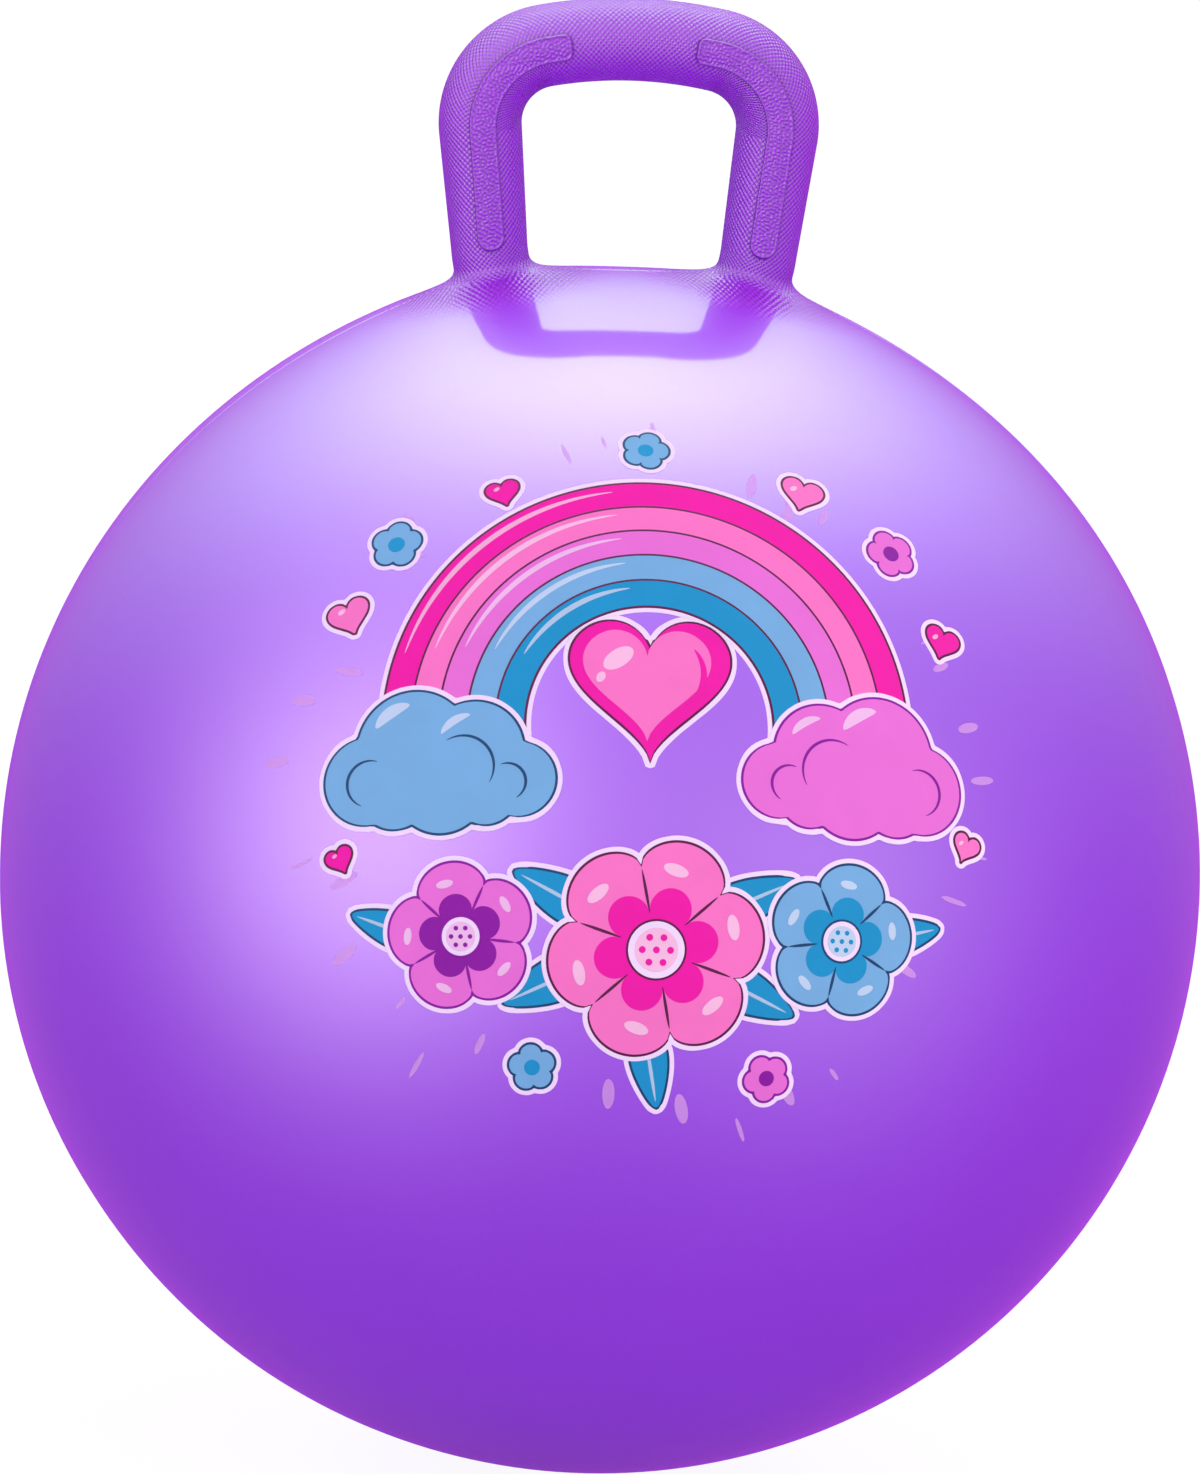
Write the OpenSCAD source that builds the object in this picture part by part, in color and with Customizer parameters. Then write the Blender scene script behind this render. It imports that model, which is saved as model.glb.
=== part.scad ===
// Hopper ball: an inflated play ball with a moulded loop handle, raised grip pads and a push-in valve plug.
// Millimetres. +Z is up through the handle, the printed front faces -Y, and the origin is the middle of
// the patch that the ball rests on.

/* [Ball] */
// Outside diameter of the inflated ball
ball_d = 457; // [400:1:560]
// Wall of the ball's skin
skin_t = 1; // [0.8:0.1:2]
// Diameter of the patch that the ball's own weight presses flat on the floor
patch_d = 50; // [30:1:70]

/* [Handle] */
// Outside width of the handle across its shoulders
handle_w = 144; // [130:1:170]
// Height of the handle's top above the crown of the ball
handle_h = 107; // [95:1:130]
// Outside diameter of the handle tube along the top bar and shoulders
tube_d = 31; // [26:0.5:34]
// Outside diameter of the handle tube where a leg reaches its foot
foot_d = 28.5; // [24:0.5:31]
// Wall of the handle tube
tube_t = 2.4; // [1.6:0.1:3.4]
// Bend radius of the arched top bar, on its centreline
crown_r = 167; // [140:1:240]
// Bend radius of the shoulders, on their centreline
corner_r = 29.5; // [24:0.5:34]
// Lean of the legs, which stand wider apart at the top
leg_lean = 6.4; // [3:0.1:8]
// Bend radius that turns the bottom of a leg square to the ball, on its centreline
bend_r = 60; // [40:1:120]
// Length of the straight neck between that bend and the flare of the foot
neck_l = 2; // [1:0.5:6]
// Radius of the fillet that spreads a foot out into the ball
flare_r = 10; // [6:1:20]

/* [Grip pads] */
// Width of a raised grip pad
pad_w = 10.4; // [7:0.1:13]
// Height of a grip pad above the handle tube
pad_h = 0.9; // [0.5:0.1:1.6]
// Length of a pad along the top bar, from the shoulder to the pad's end
pad_reach = 9.5; // [7:0.5:18]
// Distance along a leg from the start of its foot's bend to the end of a pad
pad_foot_gap = 2.5; // [1:0.5:14]

/* [Valve] */
// Height of the valve round the back of the ball, as an angle above the ball's middle
valve_angle = 0; // [-30:1:40]
// Diameter of the hole in the skin that the valve's face fills
face_d = 20; // [18:0.5:26]
// Film of glue between the valve and the skin
glue_t = 0.1; // [0.05:0.05:0.3]
// Diameter of the flange that bonds the valve to the inside of the skin
flange_d = 32; // [28:1:44]
// Thickness of that flange
flange_t = 1.8; // [1.2:0.1:3]
// Outside diameter of the valve's stem inside the ball
stem_d = 12.5; // [11:0.5:16]
// Length of the valve from the ball's surface to the inner end of its stem
stem_l = 17; // [14:0.5:24]
// Bore of the valve, which takes the plug or a pump's nozzle
bore_d = 6.5; // [5:0.1:8]

/* [Plug] */
// Diameter of the plug's head
head_d = 13; // [11:0.1:15]
// Thickness of the plug's head
head_t = 1.8; // [1.2:0.1:2.4]
// Length of the plug's shank under its head
shank_l = 18; // [14:0.5:24]
// Length of the tapered tip, which is part of the shank
tip_l = 4; // [2:0.5:6]
// Diameter of the end of the tapered tip
tip_d = 4; // [2:0.5:4.5]
// Running clearance between the plug's shank and the bore, on the radius
plug_clear = 0.05; // [0.02:0.01:0.1]
// Clearance round the plug's head in its dish
dish_clear = 0.3; // [0.2:0.05:0.6]

/* [Hidden] */
$fn = 96;

ball_colour = "#8a36d8";
handle_colour = "#8f3fdb";
pad_colour = "#9a52de";
valve_colour = "#7a30c4";
plug_colour = "#f4f2ee";

// How far a cutting tool runs past the surface that it cuts
overrun = 2;
// How far the end of one tube run beds inside the next
lap = 1;
// How much slimmer, on the radius, a run is than the bend that its end beds in
lap_step = 0.1;
// Gap under the plug's head, so that it can leave its dish freely
seat_gap = 0.05;
// Chamfer round the edge of the plug's head
head_chamfer = 0.4;
// Diameter of the shallow thumb hollow in the plug's head
hollow_d = 7;
// Depth of that hollow
hollow_depth = 0.5;

ball_r = ball_d / 2;
tube_r = tube_d / 2;
foot_r = foot_d / 2;
cavity_r = ball_r - skin_t;
// Height of the ball's centre above the floor, where its surface is cut by the resting patch
ball_z = sqrt(pow(ball_r, 2) - pow(patch_d / 2, 2));

// The handle's centreline lies in the XZ plane, and these places are measured from the ball's centre.
// Each half starts at the middle of the top bar and turns downwards all the way to its foot.
crown_z = ball_r + handle_h - tube_r;
corner_x = handle_w / 2 - tube_r - corner_r;
corner_z = crown_z - crown_r + sqrt(pow(crown_r - corner_r, 2) - pow(corner_x, 2));
crown_angle = asin(corner_x / (crown_r - corner_r));
corner_angle = 90 + leg_lean - crown_angle;
crown_lap_angle = arc_angle(lap, crown_r);

// Centre of the flare's fillet in a plane through the foot's axis: it touches the ball and the tube.
flare_x = foot_r + flare_r;
flare_z = sqrt(pow(ball_r + flare_r, 2) - pow(flare_x, 2));
// Half angle, seen from the ball's centre, of the hole that a flare fills
flare_angle = atan(flare_x / flare_z);

// The leg runs straight until a bend of bend_r can turn it to point at the ball's centre.
neck_z = flare_z + neck_l;
leg_heading = [-sin(leg_lean), -cos(leg_lean)];
leg_start = [corner_x, corner_z] + corner_r * [cos(leg_lean), -sin(leg_lean)];
bend_centre_0 = leg_start - bend_r * [cos(leg_lean), -sin(leg_lean)];
bend_reach = pow(neck_z, 2) + pow(bend_r, 2);
leg_drop = -bend_centre_0 * leg_heading;
leg_l = leg_drop - sqrt(pow(leg_drop, 2) - bend_centre_0 * bend_centre_0 + bend_reach);
bend_centre = bend_centre_0 + leg_l * leg_heading;
// Angle from the vertical, seen from the ball's centre, at which a foot meets the ball
foot_angle = atan2(bend_centre[0], bend_centre[1]) + atan(bend_r / neck_z);
bend_angle = foot_angle - leg_lean;

// A pad's round ends are a hair slimmer than the pad, so that they bed inside it
pad_end_r = pad_w / 2 - 2 * lap_step;
pad_top_angle = crown_angle - arc_angle(pad_reach - pad_end_r, crown_r);
pad_leg_l = leg_l - pad_foot_gap - pad_end_r;
// Depth of the slab that the pads are cut from: it starts at the handle's middle plane
pad_depth = tube_r + pad_h + overrun;
// The slab's runs lap half as far as the tube's, so that no end of one lies in an end of the other
pad_lap = lap / 2;
pad_crown_angle = crown_angle - pad_top_angle + arc_angle(pad_lap, crown_r);
pad_corner_lap_angle = arc_angle(pad_lap, corner_r);

shank_r = bore_d / 2 - plug_clear;
dish_r = head_d / 2 + dish_clear;
// Radius, from the ball's centre, of the flat floor of the dish
dish_z = sqrt(pow(ball_r, 2) - pow(dish_r, 2)) - head_t - seat_gap;

// Angle that an arc of a given length covers on a bend of radius r
function arc_angle(length, r) = length / r * 180 / PI;

// Puts its children at the ball's centre
module at_ball() {
  translate([0, 0, ball_z]) children();
}

// Follows a bend of radius r through an angle: it starts along +X and turns towards -Z
module after_bend(r, angle) {
  translate([0, 0, -r]) rotate([0, angle, 0]) translate([0, 0, r]) children();
}

// Sweeps a 2D section, centred on its own origin, round that bend
module bent(r, angle) {
  translate([0, 0, -r]) rotate([-90, -90, 0]) rotate_extrude(angle = angle) translate([r, 0]) children();
}

// Where each run of the right half of the handle begins
module at_crown() {
  at_ball() translate([0, 0, crown_z]) children();
}

module at_corner() {
  at_crown() after_bend(crown_r, crown_angle) children();
}

module at_leg() {
  at_corner() after_bend(corner_r, corner_angle) children();
}

module at_bend() {
  at_leg() translate([leg_l, 0, 0]) children();
}

module at_neck() {
  at_bend() after_bend(bend_r, bend_angle) children();
}

// Right and left copies
module both_sides() {
  children();
  mirror([1, 0, 0]) children();
}

// A round run along +X
module run(length, r1, r2) {
  rotate([0, 90, 0]) cylinder(h = length, r1 = r1, r2 = r2);
}

// The whole handle as a solid rod that follows the tube's outside, grown on the radius.
// Its necks run on into the flares by run_out.
module rod(grow, run_out) {
  slim = grow - lap_step;
  at_crown()
    after_bend(crown_r, -crown_angle - crown_lap_angle)
      bent(crown_r, 2 * (crown_angle + crown_lap_angle)) circle(tube_r + slim);
  both_sides() {
    at_corner() bent(corner_r, corner_angle) circle(tube_r + grow);
    at_leg() translate([-lap, 0, 0]) run(leg_l + 2 * lap, tube_r + slim, foot_r + slim);
    at_bend() bent(bend_r, bend_angle) circle(foot_r + grow);
    at_neck() translate([-lap, 0, 0]) run(lap + neck_l + run_out, foot_r + slim, foot_r + slim);
  }
}

// One foot's flared shell about +Z, measured from the ball's centre
module flare() {
  rotate_extrude() intersection() {
    translate([flare_x, flare_z]) difference() {
      circle(flare_r + tube_t);
      circle(flare_r);
    }
    polygon([[flare_x, flare_z], [0, flare_z], [0, 0]]);
  }
}

// Everything above a level that is measured from the ball's centre
module above(level) {
  translate([-ball_d, -ball_d, level]) cube(2 * ball_d);
}

// Points its children along the valve's axis, with +Z outwards
module along_valve() {
  at_ball() rotate([valve_angle - 90, 0, 0]) children();
}

module ball_skin() {
  color(ball_colour) difference() {
    at_ball() intersection() {
      sphere(ball_r);
      above(-ball_z);
    }
    at_ball() intersection() {
      sphere(cavity_r);
      above(skin_t - ball_z);
    }
    both_sides() at_ball() rotate([0, foot_angle, 0])
      cylinder(h = ball_d, r1 = 0, r2 = ball_d * tan(flare_angle));
    along_valve() cylinder(h = ball_d, d = face_d);
  }
}

module handle() {
  color(handle_colour) difference() {
    union() {
      rod(0, lap);
      both_sides() at_ball() rotate([0, foot_angle, 0]) flare();
    }
    rod(-tube_t, 2 * lap);
  }
}

// Slab that has the outline of the front right pad, seen from the front
module pad_slab() {
  at_crown() after_bend(crown_r, pad_top_angle) pad_end();
  at_crown() after_bend(crown_r, pad_top_angle)
    bent(crown_r, pad_crown_angle) pad_section(pad_w - 2 * lap_step);
  at_corner() after_bend(corner_r, -pad_corner_lap_angle)
    bent(corner_r, corner_angle + 2 * pad_corner_lap_angle) pad_section(pad_w);
  at_leg() translate([-pad_lap, -pad_depth, lap_step - pad_w / 2])
    cube([pad_leg_l + pad_lap, pad_depth, pad_w - 2 * lap_step]);
  at_leg() translate([pad_leg_l, 0, 0]) pad_end();
}

// Section of the slab, from the handle's middle plane to past its front
module pad_section(width) {
  translate([-width / 2, -pad_depth]) square([width, pad_depth]);
}

// Round end of the slab
module pad_end() {
  rotate([90, 0, 0]) cylinder(h = pad_depth, r = pad_end_r);
}

// The front right pad: a strip of the skin that stands proud of the tube
module pad() {
  difference() {
    intersection() {
      pad_slab();
      rod(pad_h, 0);
    }
    rod(0, 0);
  }
}

module grip_pad_front_right() {
  color(pad_colour) pad();
}

module grip_pad_front_left() {
  color(pad_colour) mirror([1, 0, 0]) pad();
}

module grip_pad_rear_right() {
  color(pad_colour) mirror([0, 1, 0]) pad();
}

module grip_pad_rear_left() {
  color(pad_colour) mirror([0, 1, 0]) mirror([1, 0, 0]) pad();
}

module valve_stem() {
  color(valve_colour) along_valve() difference() {
    union() {
      intersection() {
        sphere(ball_r);
        translate([0, 0, cavity_r - flange_t])
          cylinder(h = skin_t + flange_t + overrun, d = face_d - 2 * glue_t);
      }
      intersection() {
        difference() {
          sphere(cavity_r - glue_t);
          sphere(cavity_r - glue_t - flange_t);
        }
        cylinder(h = ball_d, d = flange_d);
      }
      translate([0, 0, ball_r - stem_l]) cylinder(h = stem_l - skin_t - flange_t / 2, d = stem_d);
    }
    cylinder(h = ball_d, d = bore_d);
    translate([0, 0, dish_z]) cylinder(h = ball_d, r = dish_r);
  }
}

module valve_plug() {
  head_r = head_d / 2;
  tip_r = tip_d / 2;
  color(plug_colour) along_valve() translate([0, 0, dish_z + seat_gap]) difference() {
    rotate_extrude() polygon([
      [0, -shank_l], [tip_r, -shank_l], [shank_r, tip_l - shank_l], [shank_r, 0], [head_r, 0],
      [head_r, head_t - head_chamfer], [head_r - head_chamfer, head_t], [0, head_t]
    ]);
    translate([0, 0, head_t - hollow_depth]) cylinder(h = head_t, d = hollow_d);
  }
}

ball_skin();
handle();
grip_pad_front_left();
grip_pad_front_right();
grip_pad_rear_left();
grip_pad_rear_right();
valve_stem();
valve_plug();
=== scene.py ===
# %% [markdown]
# # A hopper ball, worked out surface by surface
# The real toy is one thin vinyl skin: a blown-up ball with a hollow handle moulded on top of it. A valve in
# the back takes the air, a push-in plug closes it, and a print covers the front. In this lesson each piece
# is a surface that numpy works out from a short formula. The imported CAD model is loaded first, because its
# frame says where everything is.

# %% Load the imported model
import math

import bpy
import numpy as np
from mathutils import Matrix, Vector


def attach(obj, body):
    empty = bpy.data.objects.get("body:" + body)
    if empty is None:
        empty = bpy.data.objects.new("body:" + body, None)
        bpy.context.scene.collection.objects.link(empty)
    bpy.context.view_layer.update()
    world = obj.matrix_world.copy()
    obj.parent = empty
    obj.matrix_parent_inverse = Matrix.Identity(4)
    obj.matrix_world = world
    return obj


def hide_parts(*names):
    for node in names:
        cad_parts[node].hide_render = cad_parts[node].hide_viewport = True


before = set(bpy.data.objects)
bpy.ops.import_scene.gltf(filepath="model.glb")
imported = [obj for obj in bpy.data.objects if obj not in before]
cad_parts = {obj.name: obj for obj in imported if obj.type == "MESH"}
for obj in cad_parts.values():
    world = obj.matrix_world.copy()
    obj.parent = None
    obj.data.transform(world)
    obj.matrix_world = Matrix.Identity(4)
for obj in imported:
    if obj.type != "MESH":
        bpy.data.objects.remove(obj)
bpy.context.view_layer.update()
MM = 0.001

# %% [markdown]
# ## From an array to a mesh
# A surface on a grid needs two things: the points, and the faces between neighbours on the grid. Python loops
# over vertices are slow and hard to read, so both are whole arrays, and foreach_set hands them to Blender in
# one go. All lengths here are millimetres from the ball's centre, because that is where the formulas are
# simple. The last step turns them into metres above the floor.

# %% Grids and faces
BALL_R = 228.5
PATCH_R = 25.0
BALL_Z = math.sqrt(BALL_R ** 2 - PATCH_R ** 2)


def turns(columns):
    """Equal steps of angle, once round."""
    return np.linspace(0.0, 2.0 * np.pi, columns, endpoint=False)


def grid_faces(rows, columns, first=0, closed=True):
    """Quads of a grid: point (i, j) joins (i, j+1), (i+1, j+1) and (i+1, j). In closed rings, j wraps round."""
    i, j = np.meshgrid(np.arange(rows - 1), np.arange(columns if closed else columns - 1), indexing="ij")
    k = (j + 1) % columns
    corners = [i * columns + j, i * columns + k, (i + 1) * columns + k, (i + 1) * columns + j]
    return first + np.stack(corners, -1).reshape(-1, 4)


def fan_faces(hub, first, columns):
    """Triangles from one hub point to each pair of neighbours on a closed ring."""
    j = np.arange(columns)
    return np.stack([np.full(columns, hub), first + j, first + (j + 1) % columns], -1)


def capped(rings, hubs, reading=-1):
    """Points and faces of rings that a hub point closes at each end. Reading the corners of each face backwards,
    with -1, makes the faces point the other way."""
    rows, columns = rings.shape[:2]
    hub = rows * columns
    faces = [grid_faces(rows, columns), fan_faces(hub, 0, columns)[:, ::-1],
             fan_faces(hub + 1, hub - columns, columns)]
    return np.concatenate([rings.reshape(-1, 3), hubs]), [f[:, ::reading] for f in faces]


# %% A piece from points and faces
def new_piece(name, points, face_sets, body="ball", slot="ball_pvc", replaced=()):
    """Makes a smooth mesh object at the origin from points in millimetres and arrays of faces."""
    points = (np.reshape(points, (-1, 3)) + [0.0, 0.0, BALL_Z]) * MM
    corners = np.concatenate([f.ravel() for f in face_sets])
    sizes = np.concatenate([np.full(len(f), f.shape[1]) for f in face_sets])
    mesh = bpy.data.meshes.new(name)
    mesh.vertices.add(len(points))
    mesh.vertices.foreach_set("co", points.ravel())
    mesh.loops.add(len(corners))
    mesh.loops.foreach_set("vertex_index", corners.astype(np.int32))
    mesh.polygons.add(len(sizes))
    mesh.polygons.foreach_set("loop_start", (np.cumsum(sizes) - sizes).astype(np.int32))
    mesh.polygons.foreach_set("use_smooth", np.ones(len(sizes), bool))
    mesh.update(calc_edges=True)
    mesh.validate()
    piece = bpy.data.objects.new(name, mesh)
    bpy.context.scene.collection.objects.link(piece)
    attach(piece, body)
    for node in replaced:
        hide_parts(node)
    print(f"{name}: {len(points)} points, {len(sizes)} faces")
    return piece


# %% [markdown]
# ## The ball
# A blown-up skin is round, except where something pulls on it. The thick handle holds the skin up, so the ball
# swells a little round each foot, and the floor presses a small flat patch into it. A UV sphere with its poles
# at the top would put its pinched faces under the handle, where the mirror-like shine shows every fault. Here
# the poles are at the front and the back: the back one becomes the hole for the valve, and the middle ring
# carries the fine ridge that the two halves of the mould leave.

# %% The skin's shape as a function of direction
SKIN_T = 1.0
FOOT_ANGLE = math.radians(12.144)
FOOT_AXES = np.array([[side * math.sin(FOOT_ANGLE), 0.0, math.cos(FOOT_ANGLE)] for side in (-1, 1)])
FOOT_LIFT, LIFT_REACH, LIFT_BLEND = 7.0, 52.0, 4
RIDGE_H, RIDGE_W = 0.3, 0.45
FLOOR_SOFT = 0.2


def ways_to_feet(direction):
    """Length of the arc on the ball from a direction to each foot's axis: the angle between them times the
    radius."""
    return np.arccos(np.clip(direction @ FOOT_AXES.T, -1.0, 1.0)) * BALL_R


def swell(direction):
    """A foot lifts the skin by FOOT_LIFT times exp(-d / LIFT_REACH), d being the way to its axis. The two lifts
    are added as powers, so the nearer foot rules, and the change from one to the other is rounded off."""
    lifts = FOOT_LIFT * np.exp(-ways_to_feet(direction) / LIFT_REACH)
    return (lifts ** LIFT_BLEND).sum(-1) ** (1.0 / LIFT_BLEND)


def ridge(offset):
    """A bell-shaped ridge over the mould's parting plane, by the distance from that plane."""
    return RIDGE_H * np.exp(-(offset / RIDGE_W) ** 2)


def on_ball(direction, lift=0.0):
    """The point at the ball's radius plus the swelling plus a lift, along a unit direction."""
    return direction * (BALL_R + swell(direction) + lift)[..., None]


def rest_on(points, level):
    """Presses points up to a level: z becomes the smooth maximum of z and the level."""
    above = points[..., 2] - level
    points[..., 2] = level + 0.5 * (above + np.sqrt(above ** 2 + FLOOR_SOFT ** 2))
    return points


print("skin lifted at the feet by", swell(FOOT_AXES).round(2), "mm")

# %% The skin's grid: outside, lip of the valve's hole, inside
HOLE_R, LIP_R = 10.0, 0.4
OUTER_ROWS, INNER_ROWS, AROUND = 150, 48, 256
RIDGE_ROWS, RIDGE_CLEAR = np.array([-1.6, -1.1, -0.7, -0.35, 0.0, 0.35, 0.7, 1.1, 1.6]), 3.0

hole_edge = math.pi - math.asin((HOLE_R + LIP_R) / BALL_R)
coarse = np.linspace(0.0, hole_edge, OUTER_ROWS)[1:]
coarse = coarse[np.abs(coarse - np.pi / 2) > RIDGE_CLEAR / BALL_R]
outer_tilt = np.sort(np.concatenate([coarse, np.pi / 2 + RIDGE_ROWS / BALL_R]))
lip_turn = np.radians([22.5, 45.0, 67.5, 90.0, 90.0])
lip_reach = HOLE_R + LIP_R * (1.0 - np.sin(lip_turn))
lip_lift = LIP_R * (np.cos(lip_turn) - 1.0) - np.array([0.0, 0.0, 0.0, 0.0, SKIN_T - LIP_R])
inner_tilt = np.linspace(math.pi - math.asin(HOLE_R / BALL_R), 0.0, INNER_ROWS)[1:-1]

tilt = np.concatenate([outer_tilt, np.pi - np.arcsin(lip_reach / BALL_R), inner_tilt])
lift = np.concatenate([ridge(BALL_R * np.cos(outer_tilt)), lip_lift, np.full(len(inner_tilt), -SKIN_T)])
tilt_grid, turn_grid = np.meshgrid(tilt, turns(AROUND), indexing="ij")
direction = np.stack([np.sin(tilt_grid) * np.cos(turn_grid), -np.cos(tilt_grid),
                      np.sin(tilt_grid) * np.sin(turn_grid)], -1)
skin = on_ball(direction, lift[:, None])
skin = rest_on(skin, (np.clip(-lift, 0.0, SKIN_T) - BALL_Z)[:, None])
poles = np.array([[0.0, -BALL_R, 0.0], [0.0, SKIN_T - BALL_R, 0.0]])
ball = new_piece("ball_shell", *capped(skin, poles), replaced=["ball_skin"])

# %% [markdown]
# ## How much of the etching is left
# The mould for the handle is etched with a fine linen grain. The etching doesn't stop at the feet: it fades out
# on the ball round them, over a few centimetres. One value on each point says how much of it is left there,
# and the ball and the handle use the same rule, so the grain runs from one to the other with no edge.

# %% Grain value on the ball
GRAIN_FULL, GRAIN_GONE = 26.0, 54.0


def smoothstep(low, high, value):
    """0 below low, 1 above high, and 3t² - 2t³ between them."""
    t = np.clip((value - low) / (high - low), 0.0, 1.0)
    return t * t * (3.0 - 2.0 * t)


def etching(direction):
    """Full within GRAIN_FULL of the nearer foot's axis, none beyond GRAIN_GONE, and a smooth step between."""
    return 1.0 - smoothstep(GRAIN_FULL, GRAIN_GONE, ways_to_feet(direction).min(-1))


def set_values(piece, name, values):
    """Stores one number for each point of a piece."""
    attribute = piece.data.attributes.new(name, "FLOAT", "POINT")
    attribute.data.foreach_set("value", np.ravel(values).astype(np.float32))


ball_grain = etching(direction)
set_values(ball, "grain", np.concatenate([ball_grain.ravel(), [0.0, 0.0]]))
print("points of the ball with grain:", int((ball_grain > 0.0).sum()))

# %% [markdown]
# ## The handle's path
# The handle is a tube that starts at the middle of the top bar, turns over a shoulder, runs down a leg and
# bends once more to meet the ball squarely. Such a path is easiest to describe by how sharply it curves at
# each place: one over the bend radius along an arc, and nothing along a straight run. Adding the curvature up
# gives the heading, and adding the heading up gives the place, so no centre of any arc has to be worked out.

# %% Curvature, added up twice
CROWN_Z, CROWN_R, CORNER_R, BEND_R = 320.0, 167.0, 29.5, 60.0
TUBE_R, FOOT_R, LEG_L = 15.5, 14.25, 44.97
CROWN_TURN, CORNER_TURN, BEND_TURN = np.radians([11.324, 85.076, 5.744])
RUNS = {"crown": CROWN_R * CROWN_TURN, "corner": CORNER_R * CORNER_TURN, "leg": LEG_L, "bend": BEND_R * BEND_TURN}
RUN_ENDS = dict(zip(RUNS, np.cumsum(list(RUNS.values()))))
PATH_POINTS = 8001

fine = np.linspace(0.0, RUN_ENDS["bend"], PATH_POINTS)
step = fine[1] - fine[0]


def add_up(slope):
    """The running sum of a slope along the path, by the trapezium rule."""
    return np.concatenate([[0.0], np.cumsum(0.5 * (slope[1:] + slope[:-1]) * step)])


curvature = np.select([fine < RUN_ENDS["crown"], fine < RUN_ENDS["corner"], fine < RUN_ENDS["leg"]],
                      [1.0 / CROWN_R, 1.0 / CORNER_R, 0.0], 1.0 / BEND_R)
heading_fine = add_up(curvature)
path_x, path_z = add_up(np.cos(heading_fine)), CROWN_Z - add_up(np.sin(heading_fine))


def along(s):
    """Place, outward normal and front normal of the right half of the path, s being the way from its middle."""
    heading = np.interp(s, fine, heading_fine)
    nothing = np.zeros_like(heading)
    place = np.stack([np.interp(s, fine, path_x), nothing, np.interp(s, fine, path_z)], -1)
    outward = np.stack([np.sin(heading), nothing, np.cos(heading)], -1)
    return place, outward, np.broadcast_to([0.0, -1.0, 0.0], place.shape)


def tube_radius(s):
    """The full radius down to the shoulder's end, then a straight taper down the leg."""
    return np.interp(s, [RUN_ENDS["corner"], RUN_ENDS["leg"]], [TUBE_R, FOOT_R])


foot_place = along(np.array([RUN_ENDS["bend"]]))[0][0]
FOOT_Z = float(np.linalg.norm(foot_place))
print("foot ends", foot_place.round(2), "heading", round(math.degrees(heading_fine[-1]), 3))

# %% [markdown]
# ## The handle and its feet
# The tube itself is a circle carried along the path. A foot is different: it spreads out and melts into the
# ball. A fillet in CAD would have one radius, but the moulded foot starts tight and runs out wide. Here each
# ring of a foot grows by the square of a parameter, while its height above the swollen skin falls by the
# cube of what is left, so it leaves the tube along the leg and meets the ball with no edge.

# %% Tube and foot as surfaces
FOOT_SPREAD, FOOT_SINK, FOOT_ROUNDS = 32.0, 0.15, 6
seam = np.radians([0.0, 0.9, 1.8, 2.8, 4.2, 6.5])
plain = np.radians(np.arange(10.0, 171.0, 4.0))
half = np.concatenate([seam, plain, np.pi - seam[::-1]])
ring_turn = np.concatenate([half, half[1:-1] + np.pi])


def seam_ridge(turn, radius):
    """The mould's ridge along the outside and the inside of the loop, by the distance from its plane."""
    return ridge(radius * np.sin(turn))


def tube(s):
    """Circle of the tube's radius, plus the seam, in the plane of the outward and the front normals."""
    place, outward, front = along(s)
    radius = tube_radius(s)[:, None] + seam_ridge(ring_turn[None, :], tube_radius(s)[:, None])
    spoke = np.cos(ring_turn)[None, :, None] * outward[:, None] + np.sin(ring_turn)[None, :, None] * front[:, None]
    return place[:, None] + radius[..., None] * spoke


def foot(t):
    """Rings of radius FOOT_R + FOOT_SPREAD t², at a height above the skin that falls as (1 - t)³ to a slight
    sink. The skin's own height depends on where a ring ends up, so it is looked up again in a few rounds."""
    axis = FOOT_AXES[1]
    outward, front = np.array([axis[2], 0.0, -axis[0]]), np.array([0.0, -1.0, 0.0])
    spoke = np.cos(ring_turn)[:, None] * outward + np.sin(ring_turn)[:, None] * front
    t = t[:, None]
    reach = FOOT_R + FOOT_SPREAD * t ** 2 + seam_ridge(ring_turn[None, :], FOOT_R) * (1.0 - t)
    neck = math.hypot(FOOT_Z, FOOT_R)

    def aim(distance):
        lean = np.arcsin(reach / distance)
        return np.cos(lean)[..., None] * axis + np.sin(lean)[..., None] * spoke[None]

    rise = neck - BALL_R - swell(aim(np.full_like(reach, neck)))[:1]
    distance = np.full_like(reach, BALL_R)
    for _ in range(FOOT_ROUNDS):
        toward = aim(distance)
        distance = BALL_R + swell(toward) + rise * (1.0 - t) ** 3 - FOOT_SINK * t ** 6
        distance = distance + ridge(distance * toward[..., 1]) * t
    return toward * distance[..., None], reach


# %% Tube, feet and caps in one closed grid
RUN_ROWS = {"crown": 20, "corner": 40, "leg": 32, "bend": 6}
FOOT_ROWS = 34
CAP_DEPTH, CAP_SHARE = 1.6, 0.94

run_starts = [0.0, *RUN_ENDS.values()]
tube_s = np.concatenate([np.linspace(start, RUN_ENDS[run], RUN_ROWS[run], endpoint=False)
                         for run, start in zip(RUNS, run_starts)])
foot_rings, foot_reach = foot(np.linspace(0.0, 1.0, FOOT_ROWS))
rim = foot_rings[-1:]
middle = (rim @ FOOT_AXES[1])[..., None] * FOOT_AXES[1]
cap = (rim - middle) * CAP_SHARE + middle - CAP_DEPTH * FOOT_AXES[1]
right = np.concatenate([tube(tube_s), foot_rings, cap])
loop = np.concatenate([right[:0:-1] * [-1.0, 1.0, 1.0], right])
cap_hubs = np.stack([loop[0].mean(0), loop[-1].mean(0)])
handle = new_piece("handle_loop", *capped(loop, cap_hubs, 1), slot="handle_pvc", replaced=["handle"])

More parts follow.
